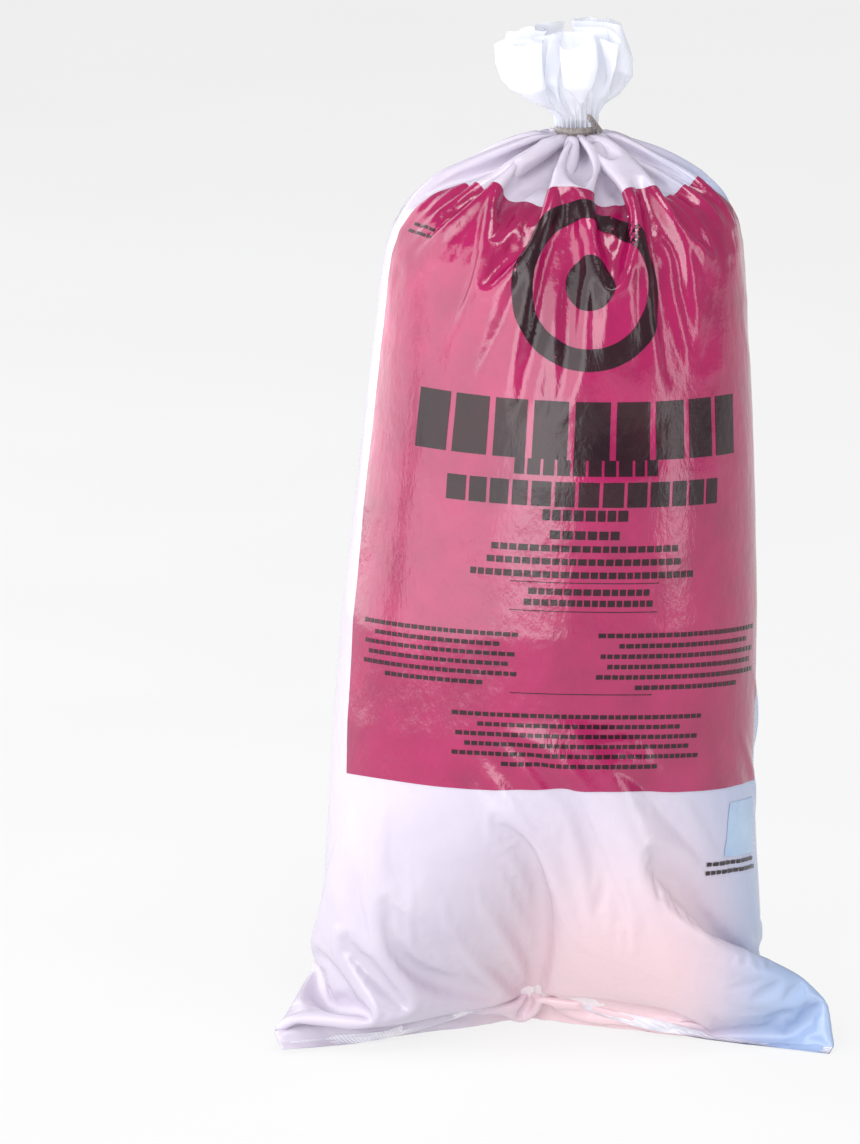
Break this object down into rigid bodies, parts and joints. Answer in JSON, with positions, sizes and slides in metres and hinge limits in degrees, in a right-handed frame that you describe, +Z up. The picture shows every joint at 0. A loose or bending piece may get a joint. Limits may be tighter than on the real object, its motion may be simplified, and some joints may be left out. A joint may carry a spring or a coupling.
{
  "type": "filled autoclave waste bag",
  "caption": "Filled plastic-film waste bag standing on its welded bottom, with a printed front panel and a neck gathered and closed by a twisted wire tie.",
  "frame": {"origin": "bottom centre of the bounding box, on the surface that the bag stands on", "axes": "+Z up, -Y out of the printed front, +X towards the viewer's right"},
  "size_m": [0.2752, 0.1997, 0.511],
  "materials": {
    "film": "gloss",
    "weld": "satin",
    "contents": "matte",
    "panel_ink": "gloss",
    "black_ink": "gloss",
    "indicator_ink": "satin",
    "tie_paper": "matte",
    "tie_steel": "satin"
  },
  "bodies": {
    "bag": {"film_body": "film", "waste_fill": "contents", "bottom_weld": "weld", "printed_panel": "panel_ink", "emblem_print": "black_ink", "headline_print": "black_ink", "subtitle_print": "black_ink", "caution_print": "black_ink", "left_notes_print": "black_ink", "right_notes_print": "black_ink", "lower_notes_print": "black_ink", "corner_note_print": "black_ink", "steam_indicator": "indicator_ink", "indicator_note": "black_ink", "neck_gather": "film", "tie_ribbon": "tie_paper", "tie_wire": "tie_steel"},
    "tie_tail": {"tie_tail_a": "tie_paper", "tie_tail_b": "tie_paper"},
    "crown": {"crown": "film"},
    "left_fin": {"left_fin": "film", "left_fin_weld": "weld"},
    "right_fin": {"right_fin": "film", "right_fin_weld": "weld"}
  },
  "joints": [
    {"name": "crown_bend", "type": "hinge", "parent": "bag", "child": "crown", "pos_m": [0.0185, 0.0165, 0.466], "axis": [0, 1, 0], "range_deg": [-28, 28]},
    {"name": "tie_tail_bend", "type": "hinge", "parent": "bag", "child": "tie_tail", "pos_m": [0.0291, 0.0077, 0.4612], "axis": [0.6392, 0.769, 0], "range_deg": [-10, 60]},
    {"name": "left_fin_swing", "type": "hinge", "parent": "bag", "child": "left_fin", "pos_m": [-0.1132, -0.0282, 0], "axis": [0, 0, 1], "range_deg": [-50, 50]},
    {"name": "right_fin_swing", "type": "hinge", "parent": "bag", "child": "right_fin", "pos_m": [0.1088, -0.0526, 0], "axis": [0, 0, 1], "range_deg": [-50, 50]}
  ]
}
